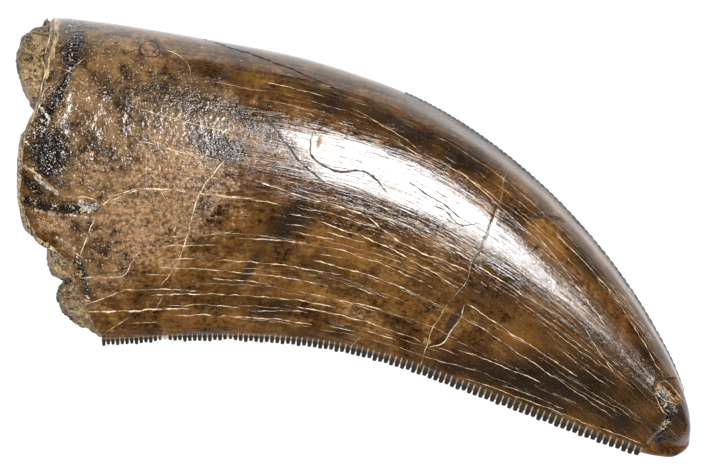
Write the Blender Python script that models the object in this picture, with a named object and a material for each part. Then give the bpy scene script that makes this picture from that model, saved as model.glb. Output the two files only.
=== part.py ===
"""A fossil tyrannosaur tooth lying on its side, with the sediment plug in its broken base.

The tooth's length runs along +X, from the broken base to the tip. The convex leading (mesial)
edge faces +Y, the concave trailing (distal) edge faces -Y, and the near wall faces +Z.
"""

import math

import bmesh
import bpy
from mathutils import Vector, noise

# Driving dimensions, in millimetres unless the name says otherwise.
MILLIMETRE = 0.001

# Both edges of the crown seen square on, from the base to the tip, without the denticles.
MESIAL_KNOTS = [(-23.38, 15.50), (-17.78, 14.97), (-10.78, 13.86), (-2.38, 12.14), (6.02, 8.86),
                (11.62, 4.98), (17.22, -0.70), (20.95, -6.10), (23.06, -10.45), (23.55, -12.30),
                (23.68, -13.70)]
DISTAL_KNOTS = [(-23.38, -7.32), (-17.43, -7.27), (-10.78, -6.98), (-5.18, -7.16), (-0.98, -7.74),
                (3.22, -8.86), (7.42, -10.40), (13.02, -12.52), (18.62, -14.62), (21.12, -15.40),
                (22.60, -15.44), (23.42, -14.85), (23.68, -13.70)]

# Profiles along the crown: the fraction of its length, then a height.
NEAR_BULGE = [(0.0, 6.2), (0.15, 6.1), (0.3, 5.8), (0.45, 5.25), (0.6, 4.55), (0.75, 3.65),
              (0.9, 2.65), (1.0, 2.1)]
FAR_BULGE = [(0.0, 5.5), (0.15, 5.66), (0.3, 5.52), (0.45, 5.12), (0.6, 4.5), (0.8, 3.2),
             (0.93, 2.2), (1.0, 1.8)]
EDGE_HEIGHT = [(0.0, 5.75), (0.15, 5.62), (0.3, 5.38), (0.45, 4.98), (0.6, 4.5), (0.8, 3.8),
               (1.0, 3.2)]
TIP_ROUNDING = 0.06

# How full the cross-section is towards each edge: 0.5 is round, 1 is a straight wedge.
BASE_FULLNESS = (0.44, 0.88)
TIP_FULLNESS = (0.52, 0.92)
FAR_FULLNESS = (0.56, 0.60)

# The broken edge of each wall: the fraction of the width from the mesial edge, then how far
# along the crown the wall starts.
NEAR_MARGIN = [(0.0, 2.30), (0.05, 2.40), (0.15, 2.05), (0.24, 1.75), (0.28, 1.50), (0.35, 0.85),
               (0.46, 0.28), (0.54, 0.21), (0.61, 0.40), (0.69, 1.25), (0.73, 2.75), (0.78, 3.60),
               (0.85, 4.08), (0.92, 4.75), (0.97, 5.25), (1.0, 5.75)]
FAR_MARGIN = [(0.0, 2.30), (0.04, 2.05), (0.1, 2.2), (0.3, 1.75), (0.45, 1.05), (0.6, 1.35),
              (0.7, 2.4), (0.8, 3.95), (0.9, 4.9), (1.0, 5.75)]
ENAMEL_EDGE = 0.22
CAVITY_DEPTH = 4.6
CAVITY_CENTRE = 0.45

# The broken edge and the hollow: the depth, then how far the section shrinks across and through.
RIM_SCALES = [(-0.05, 0.965, 0.94), (0.35, 0.90, 0.82)]
FLOOR_SCALE = (0.80, 0.62)

# The serrations: how many, from where to where along the edge, and how tall.
DISTAL_DENTICLES = 99
DISTAL_SPAN = (0.117, 0.905)
DISTAL_HEIGHT = 0.40
MESIAL_DENTICLES = 66
MESIAL_SPAN = (0.461, 0.952)
MESIAL_HEIGHT = 0.20
FIRST_PITCH = 0.81
EDGE_HALF_WIDTH = 0.19
EDGE_START = 0.86
DENTICLE_SHAPE = [(0.0, 0.12), (0.2, 0.92), (0.5, 1.0), (0.8, 0.92)]
WORN_STRETCHES = [(0.205, 0.016, 0.5), (0.295, 0.012, 0.4), (0.94, 0.02, 0.5)]
LEAST_DENTICLE = 0.1

# The keel that draws the mesial edge sharp over the tip half.
KEEL_START = (0.40, 0.55)
KEEL_REACH = 0.06
KEEL_PINCH = 0.5

# The repaired break across the crown, from edge to edge.
BREAK_LINE = [(0.0, 0.608), (0.2, 0.608), (0.4, 0.604), (0.55, 0.597), (0.7, 0.582), (0.85, 0.571),
              (1.0, 0.569)]
BREAK_WIDTH = 0.005
BREAK_DEPTH = 0.14
BREAK_STEP = 0.007

# The spall notch in the near wall: a crescent that runs in from the broken base. Its top and
# foot are a fraction of the width at the base, and how much that grows with each millimetre.
NOTCH_LENGTH = 6.8
NOTCH_DEPTH = 0.95
NOTCH_TOP = (0.455, 0.020)
NOTCH_FOOT = (0.560, 0.006)
NOTCH_LIP = 0.03

# The worn chip at the tip: the line where the enamel has gone, and the step down.
CHIP_LINE = [(-14.9, 20.35), (-14.2, 20.72), (-13.5, 21.35), (-12.6, 21.65), (-11.8, 21.35),
             (-10.8, 20.9), (-10.2, 21.05), (-9.9, 22.6)]
CHIP_STEP = 0.34
CHIP_SOFTNESS = 0.25

# The sediment plug: how far along the crown its outer face lies, from edge to edge.
PLUG_FACE = [(0.0, 2.1), (0.03, 1.6), (0.065, 0.30), (0.10, 0.10), (0.14, -0.08), (0.18, 0.02),
             (0.23, 0.40), (0.28, 1.1), (0.34, 1.6), (0.48, 1.7), (0.60, 1.7), (0.68, 2.05),
             (0.785, 2.05), (0.809, 2.6), (0.83, 3.3), (0.854, 2.6), (0.88, 2.6), (0.92, 2.95),
             (0.95, 3.5), (0.97, 4.1), (0.985, 4.9), (1.0, 5.4)]
PLUG_FIT = 0.93
PLUG_DEPTH = 3.6
PLUG_NECK = 0.42
PLUG_LEVELS = (0.70, 0.35, 0.0)

# Where the plug stands proud of the broken wall, it spreads and its face is rougher.
PLUG_PROUD = (0.4, 1.1)
PLUG_SPREAD = (0.975, 0.90)
PLUG_CROWN = 0.55
PLUG_DOME = 0.12
PLUG_ROUGHNESS = 0.30
PLUG_RIM_ROUGHNESS = 0.10
ROUGH_COARSE = 0.9
ROUGH_FINE = 2.3
ROUGH_SEED = 1795634218

# Mesh density.
NEAR_ROWS = [0.012, 0.04, 0.08, 0.13, 0.19, 0.26, 0.33, 0.40, 0.455, 0.49, 0.525, 0.555, 0.575,
             0.61, 0.67, 0.73, 0.79, 0.85, 0.90, 0.94, 0.975, 1.0]
FAR_ROWS = [0.012, 0.04, 0.09, 0.16, 0.25, 0.35, 0.45, 0.55, 0.66, 0.77, 0.86, 0.93, 0.975, 1.0]
PLUG_ROWS = [0.03, 0.065, 0.10, 0.14, 0.18, 0.23, 0.28, 0.34, 0.41, 0.50, 0.59, 0.66, 0.73, 0.785,
             0.809, 0.83, 0.854, 0.885, 0.92, 0.95, 0.97, 0.985]
PLUG_COLUMNS = [0.72, 0.36]
NEAR_STATIONS = 46
FAR_STATIONS = 36
TIP_STATIONS = [0.94, 0.955, 0.967, 0.978, 0.987, 0.994]
LEAST_STEP = 0.004
TOOTH_SHARP_ANGLE = 38.0
PLUG_SHARP_ANGLE = 30.0

# Faint waves in the enamel, in cycles to a millimetre, which fade out towards the edges.
SURFACE_WAVINESS = 0.05
WAVE_ALONG = 0.22
WAVE_ACROSS = 0.45
FADE = 0.2
LEAST_WALL = 0.02


def smooth_curve(knots, steps=20):
    """Points along a smooth curve through the knots, each slope taken from the neighbours."""
    points = [Vector(knot) for knot in knots]
    spans = [(b - a).length for a, b in zip(points, points[1:])]
    chords = [(b - a) / span for a, b, span in zip(points, points[1:], spans)]
    slopes = [chords[0]]
    for i in range(1, len(points) - 1):
        before, after = spans[i - 1], spans[i]
        slopes.append((chords[i - 1] * after + chords[i] * before) / (before + after))
    slopes.append(chords[-1])
    curve = []
    for a, b, out, into, span in zip(points, points[1:], slopes, slopes[1:], spans):
        for step in range(steps):
            u = step / steps
            curve.append(a * (2 * u ** 3 - 3 * u ** 2 + 1) + b * (3 * u ** 2 - 2 * u ** 3)
                         + out * span * (u ** 3 - 2 * u ** 2 + u) + into * span * (u ** 3 - u ** 2))
    curve.append(points[-1])
    return curve


class Edge:
    """A smooth curve that is read by its fraction of arc length."""

    def __init__(self, knots):
        self.points = smooth_curve(knots)
        self.travel = [0.0]
        for a, b in zip(self.points, self.points[1:]):
            self.travel.append(self.travel[-1] + (b - a).length)
        self.length = self.travel[-1]

    def at(self, fraction):
        goal = min(max(fraction, 0.0), 1.0) * self.length
        i = 1
        while self.travel[i] < goal and i < len(self.travel) - 1:
            i += 1
        share = (goal - self.travel[i - 1]) / (self.travel[i] - self.travel[i - 1])
        point = self.points[i - 1].lerp(self.points[i], share)
        if fraction < 0.0:
            point = point + Vector((fraction * self.length, 0.0))
        return point

    def outward(self, fraction, sign):
        """The direction square to the curve, away from the tooth."""
        along = self.at(min(fraction + 0.004, 1.0)) - self.at(max(fraction - 0.004, 0.0))
        return Vector((-along.y, along.x)).normalized() * sign


class Profile:
    """A smooth height that is read at a place along a range."""

    def __init__(self, knots):
        self.points = smooth_curve(knots, 8)

    def at(self, place):
        points = self.points
        if place <= points[0].x:
            return points[0].y
        for a, b in zip(points, points[1:]):
            if place <= b.x:
                return a.y + (b.y - a.y) * (place - a.x) / max(b.x - a.x, 1e-9)
        return points[-1].y


MESIAL = Edge(MESIAL_KNOTS)
DISTAL = Edge(DISTAL_KNOTS)
BULGES = {1: Profile(NEAR_BULGE), -1: Profile(FAR_BULGE)}
MARGINS = {1: Profile(NEAR_MARGIN), -1: Profile(FAR_MARGIN)}
HEIGHT = Profile(EDGE_HEIGHT)
BREAK = Profile(BREAK_LINE)
CHIP = Profile(CHIP_LINE)
PLUG = Profile(PLUG_FACE)


def smoothstep(low, high, value):
    share = min(max((value - low) / (high - low), 0.0), 1.0)
    return share * share * (3.0 - 2.0 * share)


def crown_length(t):
    """The length of the crown along the line at the fraction t of its width."""
    return MESIAL.length * (1.0 - t) + DISTAL.length * t


def plan(s, t):
    """The place seen square on: s runs along the crown, t from mesial to distal edge."""
    return MESIAL.at(s).lerp(DISTAL.at(s), t)


def fullness(s, side):
    if side < 0:
        return FAR_FULLNESS
    blend = smoothstep(0.2, 0.9, s)
    return [a + (b - a) * blend for a, b in zip(BASE_FULLNESS, TIP_FULLNESS)]


def half_height(s, t, side):
    """How far the wall on one side bulges from the plane of the two edges."""
    mesial_power, distal_power = fullness(s, side)
    peak_at = mesial_power / (mesial_power + distal_power)
    peak = peak_at ** mesial_power * (1.0 - peak_at) ** distal_power
    shape = t ** mesial_power * (1.0 - t) ** distal_power / peak
    keel = smoothstep(*KEEL_START, s) * (1.0 - smoothstep(0.0, KEEL_REACH, t))
    over = max(s - (1.0 - TIP_ROUNDING), 0.0) / TIP_ROUNDING
    rounding = math.sqrt(max(1.0 - min(over, 1.0) ** 2, 0.0))
    bulge = BULGES[side].at(s) * shape * (1.0 - KEEL_PINCH * keel)
    return (bulge + EDGE_HALF_WIDTH * smoothstep(EDGE_START, 1.0, t)) * rounding


def notch_depth(s, t):
    """The crescent spall that runs in from the broken base of the near wall."""
    along = s * crown_length(t)
    top = NOTCH_TOP[0] + NOTCH_TOP[1] * along
    foot = NOTCH_FOOT[0] + NOTCH_FOOT[1] * along
    if along > NOTCH_LENGTH or not top < t < foot + NOTCH_LIP:
        return 0.0
    slope = smoothstep(top, foot, t) * (1.0 - smoothstep(foot, foot + NOTCH_LIP, t))
    return NOTCH_DEPTH * slope * (1.0 - along / NOTCH_LENGTH) ** 0.7


def break_depth(s, t):
    """The groove left along the repaired break."""
    offset = (s - BREAK.at(t)) / BREAK_WIDTH
    return BREAK_DEPTH * math.exp(-offset * offset)


def chip_depth(place):
    """The step down where the tip has lost its enamel."""
    return CHIP_STEP * smoothstep(0.0, CHIP_SOFTNESS, place.x - CHIP.at(place.y))


def crown_point(s, t, side):
    """A point of the crown's outer surface."""
    place = plan(s, t)
    rise = half_height(s, t, side)
    loss = break_depth(s, t)
    if side > 0:
        loss += notch_depth(s, t) + chip_depth(place) * smoothstep(0.0, FADE, min(t, 1.0 - t))
    wave = noise.noise(Vector((place.x * WAVE_ALONG, place.y * WAVE_ACROSS, side)))
    rise += wave * SURFACE_WAVINESS * smoothstep(0.0, FADE, 1.0 - s)
    height = HEIGHT.at(s) + side * max(rise - loss, LEAST_WALL * rise)
    return Vector((place.x, place.y, max(height, 0.0)))


def edge_point(s, edge, sign, height):
    """A point on a cutting edge, with a denticle's height added outwards."""
    place = edge.at(s) + edge.outward(s, sign) * height
    return Vector((place.x, place.y, HEIGHT.at(s)))


def denticle_start(index, count, span):
    """Where a denticle starts: the pitch grows evenly from the base to the tip."""
    share = index / count
    return span[0] + (span[1] - span[0]) * (FIRST_PITCH * share + (1.0 - FIRST_PITCH) * share ** 2)


def wear(s):
    """How much of a denticle is left."""
    left = 1.0
    for centre, reach, loss in WORN_STRETCHES:
        left -= loss * math.exp(-((s - centre) / reach) ** 2)
    return max(left, LEAST_DENTICLE)


def denticle_edge(count, span, height):
    """Places and heights along a serrated edge."""
    places = []
    for index in range(count):
        start = denticle_start(index, count, span)
        pitch = denticle_start(index + 1, count, span) - start
        for share, rise in DENTICLE_SHAPE:
            s = start + share * pitch
            places.append((s, height * rise * wear(s)))
    places.append((span[1], LEAST_DENTICLE * height))
    return places


def stations(start, count):
    """Even steps from a row's start, then finer ones round the tip."""
    steps = [start + (TIP_STATIONS[0] - start) * i / count for i in range(count)]
    return steps + TIP_STATIONS


def with_break(places, t):
    """The same steps, with three more where the row crosses the repaired break."""
    middle = BREAK.at(t)
    kept = [s for s in places if abs(s - middle) > 2.0 * BREAK_STEP]
    return sorted(kept + [middle - BREAK_STEP, middle, middle + BREAK_STEP])


class Skin:
    """A mesh in the making: rows of vertices that are stitched together."""

    def __init__(self):
        self.mesh = bmesh.new()

    def vertex(self, point):
        return self.mesh.verts.new(Vector(point) * MILLIMETRE)

    def face(self, *corners):
        if len(set(corners)) == len(corners):
            self.mesh.faces.new(corners)

    def stitch(self, row_a, row_b):
        """Fill between two rows of (place, vertex), stepping along whichever is behind."""
        i = j = 0
        while i < len(row_a) - 1 or j < len(row_b) - 1:
            if j == len(row_b) - 1 or (i < len(row_a) - 1 and row_a[i + 1][0] <= row_b[j + 1][0]):
                self.face(row_a[i][1], row_a[i + 1][1], row_b[j][1])
                i += 1
            else:
                self.face(row_a[i][1], row_b[j + 1][1], row_b[j][1])
                j += 1

    def finish(self, name, material, sharp_angle):
        bmesh.ops.recalc_face_normals(self.mesh, faces=self.mesh.faces)
        data = bpy.data.meshes.new(name)
        self.mesh.to_mesh(data)
        self.mesh.free()
        data.materials.append(material)
        data.shade_smooth()
        data.set_sharp_from_angle(angle=math.radians(sharp_angle))
        piece = bpy.data.objects.new(name, data)
        bpy.context.scene.collection.objects.link(piece)
        return piece


def make_material(name, colour, roughness):
    material = bpy.data.materials.new(name)
    material.use_nodes = True
    shader = material.node_tree.nodes["Principled BSDF"]
    shader.inputs["Base Color"].default_value = (*colour, 1.0)
    shader.inputs["Roughness"].default_value = roughness
    shader.inputs["Metallic"].default_value = 0.0
    return material


def wall_start(t, side):
    """The fraction of the crown's length at which a wall's enamel starts."""
    return (MARGINS[side].at(t) + ENAMEL_EDGE) / crown_length(t)


def crown_row(skin, tip, t, side):
    """One row of the crown's wall, from the broken base to the tip."""
    count = NEAR_STATIONS if side > 0 else FAR_STATIONS
    places = with_break(stations(wall_start(t, side), count), t)
    if t == 1.0:
        places = row_beside_denticles(wall_start(t, side), DISTAL_DENTICLES, DISTAL_SPAN)
    if t == NEAR_ROWS[0]:
        places = row_beside_denticles(wall_start(t, side), MESIAL_DENTICLES, MESIAL_SPAN)
    row = [(s, skin.vertex(crown_point(s, t, side))) for s in places]
    return row + [(1.0, tip)]


def steps_before(start, first):
    """Wide steps from a row's start to its first denticle."""
    count = max(int((first - start) * NEAR_STATIONS), 1)
    return [start + (first - start) * i / count for i in range(count)]


def steps_after(last):
    """The steps round the tip that lie past the last denticle."""
    return [s for s in TIP_STATIONS if s > last + LEAST_STEP]


def row_beside_denticles(start, count, span):
    """One step to each denticle, and wider ones before and after them."""
    places = [denticle_start(i, count, span) for i in range(count + 1)]
    return steps_before(start, span[0]) + [s for s in places if s > start] + steps_after(span[1])


def edge_row(skin, tip, edge, sign, serration):
    """The row along a cutting edge, with its denticles."""
    start = wall_start(0.0 if edge is MESIAL else 1.0, 1)
    first, last = serration[0][0], serration[-1][0]
    places = [(s, 0.0) for s in steps_before(start, first)]
    places += [(s, height) for s, height in serration if s >= start]
    places += [(s, 0.0) for s in steps_after(last)]
    row = [(s, skin.vertex(edge_point(s, edge, sign, height))) for s, height in places]
    return row + [(1.0, tip)]


def base_point(along, t, side, scale_t, scale_z):
    """A point of the crown's section, shrunk towards the middle of the tooth."""
    t_in = CAVITY_CENTRE + (t - CAVITY_CENTRE) * scale_t
    s = along / crown_length(t_in)
    place = plan(s, t_in)
    rise = half_height(max(s, 0.0), t, side) * scale_z if 0.0 < t < 1.0 else 0.0
    return Vector((place.x, place.y, HEIGHT.at(s) + side * rise))


def way_round(t, side):
    """The place on the way round the section: 0 is the mesial edge and 0.5 the distal one."""
    return 0.49 * t if side > 0 else 1.0 - 0.49 * t


def perimeter(near_rows, far_rows):
    """Round the section: the place on the way round, then t and the side."""
    near = [(way_round(t, 1), t, 1) for t in near_rows if t < 1.0]
    far = [(way_round(t, -1), t, -1) for t in reversed(far_rows) if t < 1.0]
    return [(0.0, 0.0, 1)] + near + [(0.5, 1.0, 1)] + far


def ring(skin, where, point_at):
    """A closed ring of vertices, whose first vertex comes again at its end."""
    row = [(place, skin.vertex(point_at(t, side))) for place, t, side in where]
    return row + [(1.0, row[0][1])]


def fill_ring(skin, row):
    """Close a ring with strips from its near half to its far half."""
    near = [(place, vertex) for place, vertex in row if place <= 0.5]
    far = [(1.0 - place, vertex) for place, vertex in reversed(row) if place >= 0.5]
    skin.stitch(near, far)


def rim_point(t, side, inset, scale_t, scale_z):
    """A point of the broken edge of the wall."""
    along = MARGINS[side].at(t) + inset
    return base_point(along, t, side, scale_t, scale_z)


def cavity_point(t, side, depth, fit=1.0):
    """A point of the cavity's wall at a depth from the enamel's edge; fit leaves a gap to it."""
    mouth_depth, mouth_t, mouth_z = RIM_SCALES[-1]
    share = max((depth - mouth_depth) / (CAVITY_DEPTH - mouth_depth), 0.0)
    scale_t = (mouth_t + (FLOOR_SCALE[0] - mouth_t) * share) * fit
    scale_z = (mouth_z + (FLOOR_SCALE[1] - mouth_z) * share) * fit
    return base_point(MARGINS[side].at(t) + depth, t, side, scale_t, scale_z)


def make_walls(skin):
    """The two walls and the serrated edges. Gives back the outline of their broken ends."""
    tip_place = MESIAL.at(1.0)
    tip = skin.vertex((tip_place.x, tip_place.y, HEIGHT.at(1.0)))
    mesial = edge_row(skin, tip, MESIAL, 1, denticle_edge(MESIAL_DENTICLES, MESIAL_SPAN, MESIAL_HEIGHT))
    distal = edge_row(skin, tip, DISTAL, -1, denticle_edge(DISTAL_DENTICLES, DISTAL_SPAN, DISTAL_HEIGHT))
    near = [(way_round(t, 1), crown_row(skin, tip, t, 1)) for t in NEAR_ROWS]
    far = [(way_round(t, -1), crown_row(skin, tip, t, -1)) for t in reversed(FAR_ROWS)]
    rows = [(0.0, mesial)] + near + [(0.5, distal)] + far + [(1.0, mesial)]
    for (place_a, row_a), (place_b, row_b) in zip(rows, rows[1:]):
        skin.stitch(row_a, row_b)
    return [(place, row[0][1]) for place, row in rows]


def make_hollow(skin, outline):
    """The broken rim and the cavity behind it, from the walls' outline to the floor."""
    walls = perimeter(NEAR_ROWS, FAR_ROWS)
    hollow = perimeter(PLUG_ROWS, PLUG_ROWS)
    rings = [outline]
    for where, (inset, scale_t, scale_z) in zip([walls, hollow], RIM_SCALES):
        rings.append(ring(skin, where, lambda t, side: rim_point(t, side, inset, scale_t, scale_z)))
    rings.append(ring(skin, hollow, lambda t, side: cavity_point(t, side, CAVITY_DEPTH)))
    for ring_a, ring_b in zip(rings, rings[1:]):
        skin.stitch(ring_a, ring_b)
    fill_ring(skin, rings[-1])


def make_tooth(material):
    """The crown, grown as one piece with its denticles."""
    skin = Skin()
    make_hollow(skin, make_walls(skin))
    return skin.finish("tooth", material, TOOTH_SHARP_ANGLE)


def rough(point, amount):
    """Push a point about, the same way each time, for a broken stony face."""
    coarse = noise.noise_vector(point * ROUGH_COARSE)
    fine = noise.noise_vector(point * ROUGH_FINE)
    return point + (coarse + fine * 0.6) * amount


def plug_face_depth(t, side):
    """How deep the rim of the plug's face lies in the hollow; below zero it stands proud."""
    crown = PLUG_CROWN if 0.0 < t < 1.0 else 0.4 * PLUG_CROWN
    return PLUG.at(t) + crown - MARGINS[side].at(t)


def plug_side_point(t, side, level):
    """A point of the plug's flank: level 0 is inmost, 1 is next and 2 is the face's rim."""
    face = plug_face_depth(t, side)
    proud = smoothstep(*PLUG_PROUD, -face)
    sunken = face + PLUG_LEVELS[level]
    outside = (RIM_SCALES[-1][0], -PLUG_NECK, face)[level]
    depth = sunken + (outside - sunken) * proud
    inner = cavity_point(t, side, depth, PLUG_FIT)
    if level < 2:
        return inner
    outer = base_point(MARGINS[side].at(t) + depth, t, side, *PLUG_SPREAD)
    amount = PLUG_RIM_ROUGHNESS + (PLUG_ROUGHNESS - PLUG_RIM_ROUGHNESS) * proud
    return rough(inner.lerp(outer, proud), amount)


def plug_face_point(t, side, share):
    """A point of the plug's outer face: share 1 is at its rim and 0 on its middle line."""
    rim = plug_side_point(t, side, 2)
    middle = base_point(PLUG.at(t), t, side, PLUG_SPREAD[0], 0.0)
    return rim.lerp(middle, 1.0 - share) - Vector((PLUG_DOME * (1.0 - share) * share, 0.0, 0.0))


def make_plug_face(skin, corners):
    """The plug's lumpy outer face, from its rim to the middle line that both halves share."""
    middle = {t: skin.vertex(rough(plug_face_point(t, 1, 0.0), PLUG_ROUGHNESS)) for t in PLUG_ROWS}
    for side in (1, -1):
        lines = [[(0.0, corners[0.0, 1])]]
        for t in PLUG_ROWS:
            points = [rough(plug_face_point(t, side, share), PLUG_ROUGHNESS) for share in PLUG_COLUMNS]
            inner = [(1.0 - share, skin.vertex(point)) for share, point in zip(PLUG_COLUMNS, points)]
            lines.append([(0.0, corners[t, side])] + inner + [(1.0, middle[t])])
        lines.append([(0.0, corners[1.0, 1])])
        for line_a, line_b in zip(lines, lines[1:]):
            skin.stitch(line_a, line_b)


def make_matrix_fill(material):
    """The sediment plug: a tapered body in the hollow, with a lumpy face outside it."""
    noise.seed_set(ROUGH_SEED)
    skin = Skin()
    where = perimeter(PLUG_ROWS, PLUG_ROWS)
    floor = ring(skin, where, lambda t, side: cavity_point(t, side, PLUG_DEPTH, PLUG_FIT))
    mouth = ring(skin, where, lambda t, side: plug_side_point(t, side, 0))
    neck = ring(skin, where, lambda t, side: plug_side_point(t, side, 1))
    face = ring(skin, where, lambda t, side: plug_side_point(t, side, 2))
    for ring_a, ring_b in zip([floor, mouth, neck], [mouth, neck, face]):
        skin.stitch(ring_a, ring_b)
    fill_ring(skin, floor)

    make_plug_face(skin, {(t, side): vertex for (place, t, side), (same, vertex) in zip(where, face)})
    return skin.finish("matrix_fill", material, PLUG_SHARP_ANGLE)


def centre_on_origin(pieces):
    """Set the whole part's bounding box centre over the origin, seen from above."""
    corners = [vertex.co for piece in pieces for vertex in piece.data.vertices]
    middle_x = (min(c.x for c in corners) + max(c.x for c in corners)) / 2
    middle_y = (min(c.y for c in corners) + max(c.y for c in corners)) / 2
    lowest = min(c.z for c in corners)
    for piece in pieces:
        for vertex in piece.data.vertices:
            vertex.co -= Vector((middle_x, middle_y, lowest))


def main():
    for item in list(bpy.data.objects):
        bpy.data.objects.remove(item, do_unlink=True)
    enamel = make_material("enamel", (0.155, 0.075, 0.028), 0.22)
    sediment = make_material("sediment", (0.42, 0.29, 0.13), 0.70)
    pieces = [make_tooth(enamel), make_matrix_fill(sediment)]
    centre_on_origin(pieces)


main()
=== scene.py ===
"""A fossil tyrannosaur tooth lying on a pale table, lit from above.

Plan places are in millimetres: x runs along the crown towards the tip, y towards its convex
leading (mesial) edge. On the crown, s runs from the broken base to the tip and t from the mesial
edge to the trailing (distal) one. Side 1 is the wall that faces up and side -1 the one beneath.
"""

import math
from dataclasses import dataclass

import bpy
import numpy as np
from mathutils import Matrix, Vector, noise


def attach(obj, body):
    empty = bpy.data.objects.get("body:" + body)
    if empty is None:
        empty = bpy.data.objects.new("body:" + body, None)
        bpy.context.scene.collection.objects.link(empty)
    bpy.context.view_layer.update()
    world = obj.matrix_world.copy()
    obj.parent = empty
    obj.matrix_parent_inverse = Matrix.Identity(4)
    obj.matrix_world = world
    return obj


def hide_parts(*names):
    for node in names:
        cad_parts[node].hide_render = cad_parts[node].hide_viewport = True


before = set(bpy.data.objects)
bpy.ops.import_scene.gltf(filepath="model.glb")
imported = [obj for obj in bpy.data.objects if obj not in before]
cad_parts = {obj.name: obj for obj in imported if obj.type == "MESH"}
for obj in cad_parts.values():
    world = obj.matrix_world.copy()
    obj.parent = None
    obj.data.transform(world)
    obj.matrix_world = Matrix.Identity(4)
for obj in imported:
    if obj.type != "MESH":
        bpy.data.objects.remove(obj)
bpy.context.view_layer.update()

MILLIMETRE = 0.001

# Both edges of the crown in plan, without the denticles.
MESIAL_KNOTS = [(-23.38, 15.50), (-17.78, 14.97), (-10.78, 13.86), (-2.38, 12.14), (6.02, 8.86),
                (11.62, 4.98), (17.22, -0.70), (20.95, -6.10), (23.06, -10.45), (23.55, -12.30),
                (23.68, -13.70)]
DISTAL_KNOTS = [(-23.38, -7.32), (-17.43, -7.27), (-10.78, -6.98), (-5.18, -7.16), (-0.98, -7.74),
                (3.22, -8.86), (7.42, -10.40), (13.02, -12.52), (18.62, -14.62), (21.12, -15.40),
                (22.60, -15.44), (23.42, -14.85), (23.68, -13.70)]

# What centres the part on its bounding box.
CENTRING = (-0.02, 0.03)

# Profiles along the crown: the fraction of its length, then a height. A fullness is the power
# with which a wall rises from the mesial edge, then from the distal one.
NEAR_BULGE = [(0.0, 6.2), (0.15, 6.1), (0.3, 5.8), (0.45, 5.25), (0.6, 4.55), (0.75, 3.65),
              (0.9, 2.65), (1.0, 2.1)]
FAR_BULGE = [(0.0, 5.5), (0.15, 5.66), (0.3, 5.52), (0.45, 5.12), (0.6, 4.5), (0.8, 3.2),
             (0.93, 2.2), (1.0, 1.8)]
EDGE_HEIGHT = [(0.0, 5.75), (0.15, 5.62), (0.3, 5.38), (0.45, 4.98), (0.6, 4.5), (0.8, 3.8),
               (1.0, 3.2)]
TIP_ROUNDING = 0.06
BASE_FULLNESS = (0.44, 0.88)
TIP_FULLNESS = (0.52, 0.92)
FAR_FULLNESS = (0.56, 0.60)
KEEL_START = (0.40, 0.55)
KEEL_REACH = 0.06
KEEL_PINCH = 0.5

# The broken edge of each wall: t, then how far along the crown the wall starts.
NEAR_MARGIN = [(0.0, 2.30), (0.05, 2.40), (0.15, 2.05), (0.24, 1.75), (0.28, 1.50), (0.35, 0.85),
               (0.46, 0.28), (0.54, 0.21), (0.61, 0.40), (0.69, 1.25), (0.73, 2.75), (0.78, 3.60),
               (0.85, 4.08), (0.92, 4.75), (0.97, 5.25), (1.0, 5.75)]
FAR_MARGIN = [(0.0, 2.30), (0.04, 2.05), (0.1, 2.2), (0.3, 1.75), (0.45, 1.05), (0.6, 1.35),
              (0.7, 2.4), (0.8, 3.95), (0.9, 4.9), (1.0, 5.75)]
MARGIN_RAGGEDNESS = 0.10
ENAMEL_EDGE = 0.22
CAVITY_CENTRE = 0.45

# Rings round the broken edge: the depth, then how far the section shrinks across and through.
RIM_RINGS = [(0.12, 0.988, 0.975), (-0.05, 0.965, 0.94), (0.10, 0.935, 0.88), (0.35, 0.90, 0.82),
             (1.2, 0.88, 0.77), (2.6, 0.84, 0.70)]
RIM_RAGGEDNESS = 0.08

# The serrations: how many, from where to where along the edge, and how tall.
DISTAL_DENTICLES = (99, 0.117, 0.905, 0.40)
MESIAL_DENTICLES = (66, 0.461, 0.952, 0.06)
FIRST_PITCH = 0.81
EDGE_HALF_WIDTH = 0.19
EDGE_START = 0.86

# One denticle: the fraction of its pitch, then how much it stands out, and the middle of the gap.
DENTICLE_SHAPE = [(0.0, 0.25), (0.05, 0.80), (0.14, 0.97), (0.38, 1.0), (0.64, 0.97), (0.76, 0.80),
                  (0.83, 0.25)]
DENTICLE_GAP = 0.91
DENTICLE_FOOT = 0.3

# Where denticles are worn: the fraction of the edge, the reach and how much is lost.
WORN_STRETCHES = [(0.205, 0.016, 0.5), (0.295, 0.012, 0.4), (0.94, 0.02, 0.5)]
DENTICLE_UNEVENNESS = 0.14

# The slits between denticles and the stain at their roots, both weaker on the mesial edge.
SLIT_DEPTH = 0.06
SLIT_REACH = 0.60
ROOT_REACH = 0.36
MESIAL_SLIT = 0.35
MESIAL_ROOT = 0.75

# Where the wall has gone: the repaired break, the spall notch at the base and the chip at the tip.
BREAK_LINE = [(0.0, 0.608), (0.2, 0.608), (0.4, 0.604), (0.55, 0.597), (0.7, 0.582), (0.85, 0.571),
              (1.0, 0.569)]
BREAK_WIDTH = 0.0014
BREAK_DEPTH = 0.018
NOTCH_LENGTH = 6.8
NOTCH_DEPTH = 0.95
NOTCH_TOP = (0.455, 0.020)
NOTCH_FOOT = (0.560, 0.006)
NOTCH_LIP = 0.03
CHIP_LINE = [(-14.9, 20.35), (-14.2, 20.72), (-13.5, 21.35), (-12.6, 21.65), (-11.8, 21.35),
             (-10.8, 20.9), (-10.2, 21.05), (-9.9, 22.6)]
CHIP_STEP = 0.34
CHIP_SOFTNESS = 0.18
PIT_PLACE = (-14.07, 12.92)
PIT_RADIUS = 0.42
PIT_WIDTH = 0.13
PIT_DEPTH = 0.07

# Relief of the enamel.
FLUTE_HEIGHT = 0.022
WRINKLE_HEIGHT = 0.007
LUMP_HEIGHT = 0.06

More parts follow.
